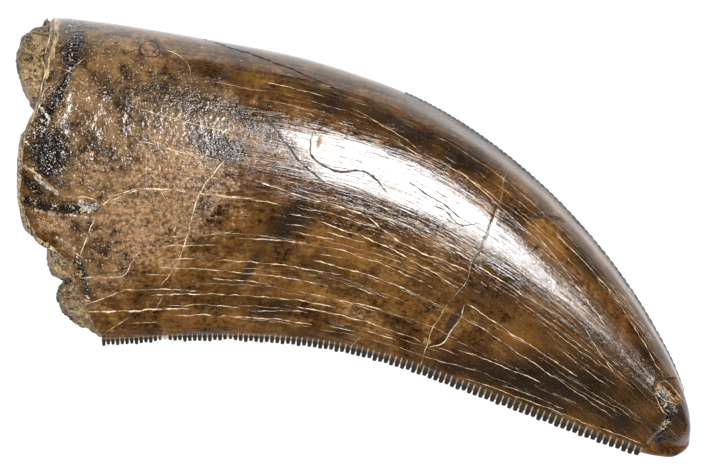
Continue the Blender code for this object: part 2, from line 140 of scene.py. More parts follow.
# The sediment plug: how far along the crown its outer face lies from edge to edge, how much it
# fills the hollow across and through at its rim, free or held by the wall, and how it is buried.
PLUG_FACE = [(0.0, 2.1), (0.03, 1.6), (0.065, 0.30), (0.10, 0.10), (0.14, -0.08), (0.18, 0.02),
             (0.23, 0.40), (0.28, 1.1), (0.34, 1.6), (0.48, 1.7), (0.60, 1.7), (0.68, 2.05),
             (0.775, 2.05), (0.800, 2.5), (0.823, 3.3), (0.850, 2.7), (0.88, 2.7), (0.92, 3.3),
             (0.95, 4.0), (0.968, 4.7), (0.982, 5.3), (1.0, 5.9)]
PLUG_SPREAD = (0.99, 0.96)
PLUG_HELD = (0.955, 0.90)
PLUG_BURIAL = 1.2
PLUG_FOOT = 0.92
NOTCH_ROOM = 0.22
PLUG_CROWN = 0.55
PLUG_DOME = 0.15
PLUG_ROUGHNESS = 0.22
PLUG_SEED = 2
PLUG_TURNS = 300
PLUG_SHELLS = 44

# How finely the crown is divided.
STRIP_WIDTH = 0.62
STRIP_ROWS = [0.0, 0.06, 0.14, 0.26, 0.42, 0.62, 0.8, 1.0]
NEAR_ROWS = 118
FAR_ROWS = 30
STRIP_STEP = 0.13
NEAR_STATIONS = 430
FAR_STATIONS = 200
EDGE_TURNS = 5

# The table and the light in metres and watts, and a long lens in millimetres with its field of
# view in metres.
TABLE_SHADE = (0.16, 0.16, 0.16)
TABLE_GLOW = 0.86
TABLE_HALF = 1.2
TABLE_GAP = 0.00005
ROOM_LIGHT = 1.9
KEY_PLACE = (0.172, 0.024, 0.5)
KEY_SIZE = (0.148, 0.24)
KEY_POWER = 4.1
LENS = 300.0
FIELD = 0.04956
FOCUS_HEIGHT = 0.0045
CAMERA_SHIFT = 0.000035


def smooth_curve(knots, steps=20):
    """Points along a smooth curve through the knots, each slope taken from the neighbours."""
    points = np.array(knots, float)
    spans = np.linalg.norm(points[1:] - points[:-1], axis=1)
    chords = (points[1:] - points[:-1]) / spans[:, None]
    before, after = spans[:-1, None], spans[1:, None]
    middle = (chords[:-1] * after + chords[1:] * before) / (before + after)
    slopes = np.vstack([chords[:1], middle, chords[-1:]])
    u = (np.arange(steps) / steps)[None, :, None]
    a, b, span = points[:-1, None], points[1:, None], spans[:, None, None]
    out, into = slopes[:-1, None], slopes[1:, None]
    curve = (a * (2 * u ** 3 - 3 * u ** 2 + 1) + b * (3 * u ** 2 - 2 * u ** 3)
             + out * span * (u ** 3 - 2 * u ** 2 + u) + into * span * (u ** 3 - u ** 2))
    return np.vstack([curve.reshape(-1, points.shape[1]), points[-1:]])


class Edge:
    """An edge of the crown in plan, read by its fraction of arc length, with its serration.

    Its sign tells which side of the curve is away from the tooth. slit and root are how strong
    the slits between its denticles and the stain at their roots are.
    """

    def __init__(self, knots, serration, sign, half_width, slit, root):
        self.points = smooth_curve(knots)
        self.serration = serration
        self.sign = sign
        self.half_width = half_width
        self.slit = slit
        self.root = root
        steps = np.linalg.norm(self.points[1:] - self.points[:-1], axis=1)
        self.travel = np.concatenate([[0.0], np.cumsum(steps)])
        self.length = self.travel[-1]

    def at(self, s):
        goal = np.clip(s, 0.0, 1.0) * self.length
        x = np.interp(goal, self.travel, self.points[:, 0]) + np.minimum(s, 0.0) * self.length
        return np.stack([x, np.interp(goal, self.travel, self.points[:, 1])], axis=-1)

    def outward(self, s):
        """The direction square to the curve, away from the tooth."""
        along = self.at(np.minimum(s + 0.004, 1.0)) - self.at(np.maximum(s - 0.004, 0.0))
        square = np.stack([-along[..., 1], along[..., 0]], axis=-1) * self.sign
        return square / np.linalg.norm(square, axis=-1, keepdims=True)


class Profile:
    """A smooth height that is read at a place along a range."""

    def __init__(self, knots, steps=8):
        self.points = smooth_curve(knots, steps)

    def at(self, place):
        return np.interp(place, self.points[:, 0], self.points[:, 1])


MESIAL = Edge(MESIAL_KNOTS, MESIAL_DENTICLES, 1, 0.0, MESIAL_SLIT, MESIAL_ROOT)
DISTAL = Edge(DISTAL_KNOTS, DISTAL_DENTICLES, -1, EDGE_HALF_WIDTH, 1.0, 1.0)
BULGES = {1: Profile(NEAR_BULGE), -1: Profile(FAR_BULGE)}
MARGINS = {1: Profile(NEAR_MARGIN), -1: Profile(FAR_MARGIN)}
HEIGHT = Profile(EDGE_HEIGHT)
BREAK = Profile(BREAK_LINE)
CHIP = Profile(CHIP_LINE)
PLUG = Profile(PLUG_FACE, 1)


def smoothstep(low, high, value):
    share = np.clip((value - low) / (high - low), 0.0, 1.0)
    return share * share * (3.0 - 2.0 * share)


def noise_at(points, seed=0.0):
    """Smooth noise from -1 to 1 at each row of an array of three columns."""
    offset = Vector((seed * 7.3, seed * 3.1, seed * 5.7))
    return np.array([noise.noise(Vector(point) + offset) for point in points])


def crown_length(t):
    return MESIAL.length * (1.0 - t) + DISTAL.length * t


def plan(s, t):
    """The place in plan, before the part is centred."""
    return MESIAL.at(s) * (1.0 - t)[..., None] + DISTAL.at(s) * t[..., None]


def width(s):
    return np.linalg.norm(MESIAL.at(s) - DISTAL.at(s), axis=-1)


def half_height(s, t, side):
    """How far the wall on one side bulges from the plane of the two edges."""
    powers = FAR_FULLNESS
    if side > 0:
        blend = smoothstep(0.2, 0.9, s)
        powers = [a + (b - a) * blend for a, b in zip(BASE_FULLNESS, TIP_FULLNESS)]
    peak_at = powers[0] / (powers[0] + powers[1])
    peak = peak_at ** powers[0] * (1.0 - peak_at) ** powers[1]
    inside = np.clip(t, 0.0, 1.0)
    shape = inside ** powers[0] * (1.0 - inside) ** powers[1] / peak
    keel = smoothstep(*KEEL_START, s) * (1.0 - smoothstep(0.0, KEEL_REACH, t))
    over = np.clip((s - (1.0 - TIP_ROUNDING)) / TIP_ROUNDING, 0.0, 1.0)
    bulge = BULGES[side].at(s) * shape * (1.0 - KEEL_PINCH * keel)
    return (bulge + EDGE_HALF_WIDTH * smoothstep(EDGE_START, 1.0, t)) * np.sqrt(1.0 - over ** 2)


def notch_depth(s, t):
    """The crescent spall that runs in from the broken base of the near wall."""
    along = s * crown_length(t)
    top = NOTCH_TOP[0] + NOTCH_TOP[1] * along
    foot = NOTCH_FOOT[0] + NOTCH_FOOT[1] * along
    slope = smoothstep(0.0, 1.0, (t - top) / (foot - top))
    lip = 1.0 - smoothstep(0.0, NOTCH_LIP, t - foot)
    reach = np.clip(1.0 - along / NOTCH_LENGTH, 0.0, 1.0) ** 0.7
    return NOTCH_DEPTH * (slope * lip) * reach


def break_depth(s, t):
    """The groove left along the repaired break."""
    offset = (s - BREAK.at(t)) / BREAK_WIDTH
    return BREAK_DEPTH * np.exp(-offset * offset)


def chip_depth(place):
    """The step down where the tip has lost its enamel."""
    return CHIP_STEP * smoothstep(0.0, CHIP_SOFTNESS, place[..., 0] - CHIP.at(place[..., 1]))


def pit_depth(place):
    """The small ring-shaped pit near the leading edge."""
    dx = place[..., 0] + CENTRING[0] - PIT_PLACE[0]
    dy = place[..., 1] + CENTRING[1] - PIT_PLACE[1]
    far = np.hypot(dx, dy)
    return PIT_DEPTH * np.exp(-((far - PIT_RADIUS) / PIT_WIDTH) ** 2)


def relief(s, t, side, place):
    """Faint flutes along the crown, and lumps towards the broken base."""
    wall = np.full_like(s, side)
    flutes = noise_at(np.column_stack([s * 7.0, t * 24.0, wall * 5.5]), 5.0) * FLUTE_HEIGHT
    wrinkles = noise_at(np.column_stack([s * 26.0, t * 62.0, wall * 5.5]), 6.0) * WRINKLE_HEIGHT
    lumps = noise_at(np.column_stack([place * 1.3, wall * 4.5]), 7.0) * LUMP_HEIGHT
    grit = noise_at(np.column_stack([place * 3.4, wall * 4.5]), 8.0) * LUMP_HEIGHT * 0.5
    near_base = 1.0 - smoothstep(2.0, 13.0, s * crown_length(t))
    inside = smoothstep(0.0, 0.04, np.minimum(t, 1.0 - t))
    return inside * (flutes + wrinkles + (lumps + grit) * near_base)


def crown_surface(s, t, side):
    """Places on the crown's outer surface, with their relief."""
    place = plan(s, t)
    rise = half_height(s, t, side)
    loss = break_depth(s, t) - relief(s, t, side, place)
    if side > 0:
        inner = smoothstep(0.0, 0.2, np.minimum(t, 1.0 - t))
        loss = loss + notch_depth(s, t) + chip_depth(place) * inner + pit_depth(place)
    height = HEIGHT.at(s) + side * np.maximum(rise - loss, 0.02 * rise)
    return np.column_stack([place, np.maximum(height, 0.0)])


def denticles(s, serration):
    """For places along an edge: how much each denticle stands out, from 0 in a slit to 1."""
    count, first, last, height = serration
    share = (s - first) / (last - first)
    inside = np.clip(share, 0.0, 1.0)
    rate = 1.0 - FIRST_PITCH
    number = (np.sqrt(FIRST_PITCH ** 2 + 4.0 * rate * inside) - FIRST_PITCH) / (2.0 * rate) * count
    index = np.minimum(np.floor(number + 1e-6), count - 1)
    shape = np.interp(number - index, *np.array(DENTICLE_SHAPE).T)
    uneven = 0.9 + DENTICLE_UNEVENNESS * np.sin(index * 12.9898 + height * 50.0) * np.cos(index * 4.1)
    left = np.ones_like(s)
    for centre, reach, loss in WORN_STRETCHES:
        left -= loss * np.exp(-((s - centre) / reach) ** 2)
    on = (share > 0.0) & (share < 1.0)
    return np.where(on, shape * uneven * np.maximum(left, 0.1), 0.0), on.astype(float)


def denticle_stations(start, edge):
    """Places along an edge that fall on the corners of its denticles, and even steps elsewhere."""
    count, first, last, _ = edge.serration
    corners = np.array([place for place, _ in DENTICLE_SHAPE] + [DENTICLE_GAP])
    number = (np.arange(count)[:, None] + corners[None, :]).ravel() / count
    share = FIRST_PITCH * number + (1.0 - FIRST_PITCH) * number ** 2
    step = STRIP_STEP / edge.length
    before = np.arange(start, first - 0.5 * step, step)
    after = np.arange(last, 1.0 - 0.5 * step, step)
    return np.concatenate([before, first + (last - first) * share, after])


@dataclass
class Row:
    """A row of the crown from its broken base to the tip.

    It runs over a wall at a share of its width, in a zone of the strip beside an edge, or over
    the edge itself, where turn goes from 0 on the near wall to 1 on the far one.
    """

    side: int
    zone: float = None
    share: float = None
    turn: float = None
    edge: Edge = None

    def across(self, s):
        """The fraction t of the crown's width at which the row runs."""
        strip = np.minimum(STRIP_WIDTH / np.maximum(width(s), 1e-6), 0.3)
        if self.turn is not None:
            return np.full_like(s, 0.0 if self.edge is MESIAL else 1.0)
        if self.zone is None:
            return strip + (1.0 - 2.0 * strip) * self.share
        return strip * self.zone if self.edge is MESIAL else 1.0 - strip * self.zone

    def start(self):
        """The fraction of the crown's length at which the enamel starts."""
        s = np.array([0.05])
        for _ in range(2):
            t = self.across(s)
            coarse, fine = noise_at([(t[0] * 40.0, self.side, 0.5), (t[0] * 110.0, self.side, 2.5)])
            fade = float(smoothstep(0.0, 0.03, min(t[0], 1.0 - t[0])))
            ragged = MARGIN_RAGGEDNESS * (coarse + 0.5 * fine) * fade
            s = (MARGINS[self.side].at(t) + ENAMEL_EDGE + ragged) / crown_length(t)
        return float(s[0])

    def places(self):
        """The row's places, and how deep in a slit and how stained by the denticles each is."""
        first = self.start()
        edge = self.edge
        if edge is None:
            count = NEAR_STATIONS if self.side > 0 else FAR_STATIONS
            s = first + (1.0 - first) * (np.arange(count) / count)
            t = self.across(s)
            return s, t, crown_surface(s, t, self.side), np.zeros_like(s), np.zeros_like(s)
        s = denticle_stations(first, edge)
        t = self.across(s)
        points = crown_surface(s, t, self.side)
        stand, on = denticles(s, edge.serration)
        tall = edge.serration[3] * stand
        inset = 0.0
        if self.turn is not None:
            points[:, 2] = HEIGHT.at(s) + edge.half_width * np.cos(self.turn * math.pi)
            points[:, :2] += edge.outward(s) * (tall * np.sin(self.turn * math.pi) ** 0.6)[:, None]
        else:
            inset = self.zone * STRIP_WIDTH
            if edge is MESIAL:
                foot = max(1.0 - inset / DENTICLE_FOOT, 0.0)
                points[:, :2] += edge.outward(s) * (tall * foot)[:, None]
        growth = 0.35 + 0.65 * smoothstep(0.25, 0.60, s)
        near_edge = np.maximum(1.0 - inset / (SLIT_REACH * growth), 0.0)
        slit = on * (1.0 - smoothstep(0.3, 0.6, stand)) * near_edge * edge.slit
        points[:, 2] -= self.side * SLIT_DEPTH * slit
        dark = on * np.maximum(1.0 - inset / (ROOT_REACH * growth), 0.0) * edge.root
        return s, t, points, slit, dark


def crown_rows():
    """Rows all the way round the section, from the mesial edge over the near wall and back."""
    rows = [Row(1, turn=0.5, edge=MESIAL)]
    rows += [Row(1, zone=zone, edge=MESIAL) for zone in STRIP_ROWS[1:]]
    rows += [Row(1, share=(k + 1) / (NEAR_ROWS + 1)) for k in range(NEAR_ROWS)]
    rows += [Row(1, zone=zone, edge=DISTAL) for zone in reversed(STRIP_ROWS)]
    rows += [Row(1, turn=(k + 1) / (EDGE_TURNS + 1), edge=DISTAL) for k in range(EDGE_TURNS)]
    rows += [Row(-1, zone=zone, edge=DISTAL) for zone in STRIP_ROWS]
    rows += [Row(-1, share=1.0 - (k + 1) / (FAR_ROWS + 1)) for k in range(FAR_ROWS)]
    rows += [Row(-1, zone=zone, edge=MESIAL) for zone in reversed(STRIP_ROWS[1:])]
    return rows


class Skin:
    """A mesh in the making, with values kept for each vertex."""

    def __init__(self):
        self.points = []
        self.values = []
        self.faces = []

    def add(self, points, values=()):
        """Adds vertices and gives back their numbers."""
        first = len(self.points)
        self.points.extend(map(tuple, points))
        self.values.extend(values)
        return list(range(first, len(self.points)))

    def stitch(self, row_a, row_b):
        """Fill between two rows of (place, vertex), stepping along whichever is behind."""
        i = j = 0
        while i < len(row_a) - 1 or j < len(row_b) - 1:
            if j == len(row_b) - 1 or (i < len(row_a) - 1 and row_a[i + 1][0] <= row_b[j + 1][0]):
                face = (row_a[i][1], row_a[i + 1][1], row_b[j][1])
                i += 1
            else:
                face = (row_a[i][1], row_b[j + 1][1], row_b[j][1])
                j += 1
            if len(set(face)) == 3:
                self.faces.append(face)

    def finish(self, name, material):
        """The piece itself, moved so that the part is centred."""
        data = bpy.data.meshes.new(name)
        places = (np.array(self.points) + np.array([*CENTRING, 0.0])) * MILLIMETRE
        data.from_pydata(places.tolist(), [], self.faces)
        data.materials.append(material)
        data.shade_smooth()
        piece = bpy.data.objects.new(name, data)
        bpy.context.scene.collection.objects.link(piece)
        return piece


def store(piece, name, values):
    """Keeps a number or a vector for each vertex under a name that the materials read."""
    kind, field = ("FLOAT_VECTOR", "vector") if values.ndim == 2 else ("FLOAT", "value")
    attribute = piece.data.attributes.new(name, kind, "POINT")
    attribute.data.foreach_set(field, values.astype(np.float32).ravel())


def base_point(along, t, side, scale_t, scale_z):
    """Points of the crown's section, shrunk towards the middle of the tooth."""
    t_in = CAVITY_CENTRE + (t - CAVITY_CENTRE) * scale_t
    s = along / crown_length(t_in)
    rise = half_height(np.maximum(s, 0.0), t, side) * scale_z
    rise = np.where((t > 0.0) & (t < 1.0), rise, 0.0)
    return np.column_stack([plan(s, t_in), HEIGHT.at(s) + side * rise])


# Soft-edged blots in plan: x, y, half length, half width, turn in degrees, strength.
SMOKE = [
    (-4.3, 1.4, 2.3, 0.9, 39, 1.0), (-7.4, -2.2, 1.6, 0.5, 50, 0.9), (-5.9, -4.9, 1.6, 0.7, 8, 0.95),
    (-0.6, -6.6, 1.1, 0.4, 25, 0.9), (-1.5, 9.3, 2.6, 0.7, -20, 0.8), (3.2, 7.4, 2.8, 0.8, -25, 1.0),
    (7.6, 5.3, 2.2, 0.7, -32, 0.9), (7.3, -9.0, 1.7, 0.5, -15, 1.0), (12.0, -10.3, 3.8, 1.0, -24, 1.2),
    (16.4, -2.3, 2.4, 0.5, -52, 0.8), (20.4, -8.6, 1.6, 0.6, -62, 0.8), (-9.8, 11.2, 2.4, 0.7, -15, 0.6),
    (-11.5, 9.0, 2.2, 0.7, -15, 0.6), (2.2, 1.2, 2.4, 0.5, -25, 0.7), (6.7, -6.0, 1.2, 0.3, 55, 1.1),
    (5.8, -7.1, 0.4, 0.3, 30, 1.0), (-2.0, -2.0, 1.2, 0.5, 40, 0.5), (16.0, -8.8, 2.2, 0.9, -35, 0.6),
    (14.8, -10.0, 3.6, 1.2, -26, 1.1), (9.5, -9.6, 3.4, 0.7, -20, 1.0), (18.0, -12.4, 2.2, 0.9, -22, 1.0),
    (16.5, -6.6, 2.0, 0.8, -42, 0.6), (22.0, -8.0, 1.0, 1.2, -60, 0.6), (4.4, -10.0, 2.4, 0.3, -12, 0.9),
    (13.0, -6.0, 7.0, 2.6, -35, 0.40), (20.2, -10.4, 3.2, 1.8, -45, 0.5), (-2.0, -7.0, 8.5, 0.7, -6, 0.45),
    (-9.4, 6.3, 1.7, 0.9, -12, 1.3), (-7.8, 8.4, 0.9, 0.5, -30, 0.9), (-10.6, 9.2, 2.0, 1.0, -20, 0.6),
    (17.0, -10.4, 4.6, 1.3, -33, 0.8), (22.7, -12.4, 0.9, 1.6, -75, 1.1), (22.4, -13.4, 0.9, 1.1, 0, 0.75),
    (19.6, -10.4, 1.8, 0.9, -45, 0.7), (21.0, -13.2, 1.4, 0.8, -30, 0.6), (10.5, 1.6, 2.2, 0.4, -42, 0.7),
    (-14.5, -4.0, 1.6, 0.5, 10, 0.4),
]
AMBER = [
    (-0.5, -0.6, 2.6, 1.1, -20, 1.0), (-3.8, -3.5, 1.6, 0.9, 0, 0.8), (-7.9, 1.2, 1.8, 1.2, 0, 0.6),
    (13.4, -0.3, 1.7, 0.7, -45, 1.2), (11.6, -6.8, 1.9, 1.2, -30, 0.9), (20.1, -11.8, 1.3, 0.7, -20, 0.5),
    (-12.9, -2.0, 2.6, 1.6, 0, 0.8), (-10.8, -5.8, 3.5, 0.7, 0, 0.8), (3.2, -4.4, 2.6, 1.1, -25, 0.7),
    (-6.9, 11.1, 1.8, 0.6, -10, 0.6), (-17.8, 12.0, 1.6, 1.4, 0, 0.9), (-17.6, 7.4, 1.2, 1.6, 20, 0.6),
    (-9.5, 3.6, 1.6, 0.8, 0, 0.5), (1.4, 9.6, 1.6, 0.3, -20, 0.5),
]
OCHRE = [
    (-15.2, 12.9, 0.5, 0.3, 0, 0.6), (-8.5, 7.1, 0.16, 0.45, 20, 1.0), (5.1, -7.3, 0.3, 0.2, 0, 1.0),
    (-2.45, 6.5, 0.16, 0.5, -12, 1.0), (22.0, -10.9, 0.75, 0.35, -30, 0.55),
    (-22.3, 4.6, 0.7, 0.14, -40, 1.0), (-19.3, 2.6, 1.0, 0.10, -4, 1.1), (13.2, -0.1, 1.3, 0.4, -40, 0.3),
    (21.3, -10.4, 0.3, 0.3, 0, 0.5), (-21.0, -1.2, 0.7, 0.4, -30, 0.4),
]
MAUVE = [
    (-12.6, 4.0, 3.6, 2.6, 0, 1.0), (-14.8, 1.0, 3.0, 2.8, 0, 1.0), (-18.3, 4.8, 2.0, 1.4, 0, 0.8),
    (-20.4, 0.6, 1.2, 0.8, 0, 0.6), (6.6, -6.2, 1.0, 0.35, 55, 1.1), (0.2, -5.2, 1.0, 0.6, -20, 0.6),
    (22.2, -13.6, 0.9, 1.0, 0, 0.5),
]

# Black places in plan, glittering with painted glints: blots, and bands of a half width along a line.
SOOT_BLOTS = [
    (-21.2, 5.7, 1.15, 1.6, 8, 1.0), (-18.9, -2.4, 0.28, 0.8, 14, 0.8),
    (-15.8, -1.2, 0.16, 0.16, 0, 1.0), (-18.5, -3.9, 0.24, 0.7, 22, 0.7),
]
SOOT_BANDS = [
    (0.62, [(-19.4, 14.9), (-19.2, 13.6), (-19.5, 12.2)]),
    (0.24, [(-19.5, 12.2), (-19.9, 10.6), (-20.3, 9.8)]),
    (0.42, [(-20.3, 9.8), (-21.0, 8.6), (-21.5, 7.4)]),
    (0.30, [(-22.8, 4.0), (-22.2, 3.5), (-21.8, 3.0)]),
    (0.26, [(-22.8, 2.6), (-21.9, 2.2), (-20.6, 1.95), (-19.2, 1.9), (-17.9, 1.95)]),
    (0.40, [(-22.8, 1.6), (-22.6, 0.4), (-21.8, -0.9), (-20.6, -1.8)]),
    (0.26, [(21.25, -11.0), (22.0, -12.1), (21.7, -13.4), (21.3, -14.4)]),
]

# Cream places in plan: bands of a half width along a line.
CREAM_BANDS = [
    (0.11, [(-22.1, 9.2), (-22.6, 7.6), (-23.0, 5.2), (-23.05, 3.3), (-22.85, 1.9), (-22.0, -0.1),
            (-20.6, -1.0)]),
    (0.27, [(-20.6, 15.2), (-20.7, 13.6), (-21.0, 12.0), (-21.5, 10.4), (-22.0, 9.0)]),
    (0.20, [(-22.4, 7.8), (-22.6, 7.2)]),
    (0.12, [(-23.0, 5.0), (-22.3, 4.7), (-21.6, 4.1)]),
]
# White places in plan, painted highlights and glints on the facets and the enamel scale beside the notch
# at the base: bands of a half width along a line.
GLINT_BANDS = [
    (0.16, [(-21.9, 4.1), (-21.2, 3.5), (-20.5, 3.0)]),
    (0.07, [(-21.6, 9.1), (-21.2, 8.5), (-20.9, 8.0)]),
    (0.22, [(-18.9, 2.3), (-18.3, 2.0), (-17.7, 2.1)]),
    (0.05, [(-20.5, -0.1), (-19.8, -0.5), (-19.2, -0.9)]),
]

# Blots where the enamel has lost its polish and is pebbled.
GRAIN = [
    (-15.6, 5.4, 5.6, 6.2, 0, 1.3), (-17.5, 10.6, 3.6, 3.4, 0, 1.2), (-10.4, 8.2, 2.4, 2.2, 0, 1.0),
    (-17.8, -0.2, 2.6, 3.6, 0, 1.1),
]

# Cracks filled with pale mineral that run with the crown: s and t at both ends, in thousandths,
# and a width.
RUNNING_CRACKS = [
    (201, 667, 217, 662, 1.0), (244, 657, 282, 640, 1.1), (286, 660, 380, 642, 1.0),
    (195, 698, 269, 685, 0.9), (182, 745, 241, 735, 0.9), (268, 738, 434, 735, 1.2),
    (188, 768, 419, 782, 0.9), (172, 792, 208, 792, 1.0), (258, 802, 343, 807, 0.9),
    (143, 838, 251, 843, 1.1), (93, 885, 146, 843, 1.1), (183, 858, 436, 853, 1.3),
    (97, 910, 238, 905, 2.0), (207, 927, 409, 932, 1.4), (203, 893, 307, 895, 0.8),
    (324, 907, 399, 893, 0.9), (382, 878, 561, 888, 1.4), (120, 978, 156, 927, 1.1),
    (157, 950, 200, 948, 0.8), (347, 557, 386, 552, 0.8), (349, 593, 377, 585, 0.8),
    (357, 613, 415, 615, 1.0), (402, 590, 456, 595, 1.0), (391, 557, 589, 618, 1.3),
    (411, 525, 469, 527, 1.1), (457, 487, 495, 490, 0.9), (417, 642, 556, 665, 1.0),
    (392, 700, 576, 720, 1.3), (399, 675, 433, 670, 0.8), (438, 763, 485, 772, 1.0),
    (383, 825, 528, 823, 1.2), (433, 932, 470, 930, 1.0), (481, 917, 527, 917, 1.0),
    (571, 943, 646, 915, 1.0), (583, 885, 617, 878, 0.9), (601, 497, 724, 485, 1.2),
    (603, 660, 783, 710, 1.4), (617, 718, 857, 820, 1.0), (612, 858, 738, 835, 1.4),
    (623, 970, 908, 922, 1.1), (687, 927, 781, 915, 0.9), (670, 215, 810, 348, 1.2),
    (689, 143, 810, 150, 1.1), (810, 150, 903, 235, 1.1), (662, 295, 708, 325, 0.9),
    (546, 185, 649, 233, 1.1), (537, 492, 590, 480, 0.9), (541, 542, 582, 557, 0.9),
    (768, 438, 839, 555, 0.9), (738, 625, 831, 642, 1.0), (705, 562, 810, 560, 0.9),
    (156, 365, 233, 400, 1.0), (405, 130, 496, 188, 0.7), (456, 185, 557, 247, 0.8),
    (293, 115, 369, 120, 0.7), (295, 173, 367, 185, 0.6),
]

# Pale cracks that bend: a width, then s and t along them in thousandths.
BENT_CRACKS = [
    (1.5, [(302, 453), (360, 485), (444, 495), (501, 550), (599, 535)]),
    (1.1, [(111, 573), (133, 547), (157, 522), (259, 520), (341, 527)]),
    (1.4, [(263, 398), (244, 473), (231, 550), (227, 628), (219, 718), (207, 790),
           (194, 828)]),
    (0.7, [(201, 840), (198, 870), (191, 900)]),
    (0.9, [(82, 800), (146, 792), (154, 758), (164, 703)]),
    (0.9, [(481, 932), (474, 965), (467, 995)]),
    (0.6, [(163, 375), (166, 435), (167, 508)]),
    (0.7, [(184, 512), (193, 550), (201, 583)]),
    (0.8, [(212, 603), (208, 635), (202, 670)]),
    (0.4, [(609, 5), (606, 100), (608, 200), (607, 300)]),
    (0.5, [(605, 388), (597, 487), (597, 545), (594, 605), (581, 695)]),
    (0.8, [(581, 695), (575, 777), (570, 850), (571, 927), (569, 990)]),
    (1.5, [(603, 662), (603, 725), (596, 802), (584, 880), (574, 900)]),
]

# Open cracks, drawn as painted shade: a width, then s and t along them in thousandths.
DARK_CRACKS = [
    (1.2, [(299, 225), (319, 273), (338, 328), (367, 390), (396, 422)]),
    (0.8, [(317, 273), (313, 295), (313, 328)]),
    (1.4, [(363, 255), (363, 290), (372, 343), (397, 370), (432, 343), (469, 385)]),
    (1.0, [(486, 318), (574, 355)]),
    (0.9, [(526, 360), (549, 362), (566, 378), (577, 367), (589, 335)]),
    (1.1, [(218, 4), (245, 14), (288, 36), (338, 60), (401, 90)]),
    (0.8, [(462, 95), (572, 103)]),
    (0.7, [(400, 118), (498, 138)]),
    (1.6, [(650, 163), (675, 100), (699, 60)]),
    (0.9, [(606, 310), (605, 388)]),
    (0.9, [(605, 390), (596, 500), (595, 600), (582, 700)]),
]
CRACK_WIDTH = 0.046
CRACK_STEP = 0.06
CRACK_WOBBLE = 0.05
CRACK_WAVES = (0.8, 2.6, 7.0, 3.1, 0.6)
DARK_WIDENING = 2.3
UNBROKEN = 1.9
FINE_CRACKS = 54
GLOSS_CRACKS = 76

# Lines given by their places in plan: a width, then x and y along them.
PALE_LINES = [
    (1.0, [(-13.16, 12.92), (-12.46, 12.78), (-11.90, 12.36), (-11.48, 11.80), (-11.27, 11.24)]),
    (0.6, [(-20.16, 10.96), (-19.18, 11.80), (-18.27, 12.50)]),
    (1.3, [(21.07, -10.33), (21.49, -10.12), (21.98, -10.26), (22.47, -10.82), (23.24, -11.66)]),
    (1.1, [(20.86, -10.82), (21.35, -11.80), (21.70, -12.57), (21.42, -13.27)]),
    # A painted highlight along the rim of the enamel scale below the notch.
    (1.2, [(-17.78, 1.51), (-18.06, 0.74), (-18.34, 0.11), (-18.69, -0.67), (-18.97, -1.30)]),
    (1.0, [(-19.74, -0.88), (-18.97, -1.30), (-18.48, -1.79)]),
    (0.6, [(-20.30, 11.59), (-19.74, 11.45), (-19.18, 11.03), (-18.13, 10.12)]),
    (1.2, [(-17.43, 2.14), (-16.38, 2.84), (-14.98, 3.26), (-13.58, 3.26), (-10.78, 2.98), (-7.42, 2.70)]),
    (1.0, [(-15.68, 9.07), (-14.28, 8.65), (-11.48, 7.88), (-9.38, 7.32), (-8.47, 7.04)]),
    (0.5, [(-14.56, 13.34), (-14.07, 13.41), (-13.65, 13.13), (-13.65, 12.71), (-14.14, 12.50),
           (-14.56, 12.71), (-14.63, 13.13), (-14.35, 13.41)]),
    (1.0, [(-21.49, 12.36), (-21.28, 11.31), (-21.42, 10.26), (-21.70, 9.28)]),
    (1.0, [(-20.93, 14.81), (-21.14, 13.06), (-21.28, 12.22)]),
    (0.8, [(-3.01, 7.25), (-2.94, 6.48), (-3.08, 5.71)]),
    (0.8, [(-2.24, 6.90), (-2.52, 6.20), (-3.01, 5.64)]),
    (0.8, [(7.98, -1.79), (8.40, -1.93), (8.12, -2.35)]),
]
OCHRE_LINES = [
    (2.2, [(-22.82, 4.94), (-22.12, 4.52), (-21.42, 3.96), (-20.58, 3.12), (-19.74, 2.70),
           (-18.34, 2.70), (-17.57, 2.28)]),
    (1.6, [(-8.68, 8.02), (-8.26, 7.46), (-8.54, 6.97)]),
    (1.6, [(-21.98, 9.91), (-21.84, 8.86), (-22.12, 8.02)]),
    (1.8, [(20.86, -10.33), (21.42, -11.17), (21.98, -11.52), (22.96, -11.73)]),
    (1.6, [(21.70, -10.75), (22.26, -11.31), (22.82, -11.45)]),
    (1.6, [(21.14, -11.45), (21.56, -12.15), (21.98, -12.57)]),
]
# Drawn with the crack shadow: a black mark, painted shadow under the notch's lip, the dark ring of the
# pit, and dark marks by the base and at the tip chip.
DARK_LINES = [
    (2.6, [(11.97, 1.58), (12.67, 1.37), (13.37, 1.37), (14.07, 1.37), (14.77, 0.95)]),
    (1.6, [(-22.96, 2.56), (-21.98, 2.14), (-20.44, 1.79), (-18.83, 1.72)]),
    (1.5, [(-14.42, 13.55), (-13.86, 13.55), (-13.51, 13.06), (-13.79, 12.43), (-14.42, 12.43),
           (-14.77, 12.92), (-14.42, 13.55)]),
    (1.2, [(-20.72, 2.63), (-19.53, 2.35), (-18.34, 2.14), (-17.50, 1.93)]),
    (1.0, [(-19.18, -1.30), (-18.76, -2.35), (-18.48, -3.75)]),
    (1.0, [(21.21, -11.17), (21.77, -11.73), (22.19, -12.29), (21.91, -13.13)]),
]


def blots(place, spots):
    """How strongly a list of soft-edged blots covers each place."""
    cover = np.zeros(len(place))
    for x, y, long, wide, turn, strength in spots:
        c, s = math.cos(math.radians(turn)), math.sin(math.radians(turn))
        dx, dy = place[:, 0] - x, place[:, 1] - y
        far = ((dx * c + dy * s) / long) ** 2 + ((dy * c - dx * s) / wide) ** 2
        cover = np.maximum(cover, strength * np.exp(-0.7 * far))
    return cover


def distance_to(place, line):
    """The distance in plan from each place to a line through points."""
    best = np.full(len(place), 1e9)
    for a, b in zip(np.array(line[:-1]), np.array(line[1:])):
        span = b - a
        share = np.clip(((place[:, :2] - a) @ span) / (span @ span), 0.0, 1.0)
        best = np.minimum(best, np.linalg.norm(place[:, :2] - a - share[:, None] * span, axis=1))
    return best


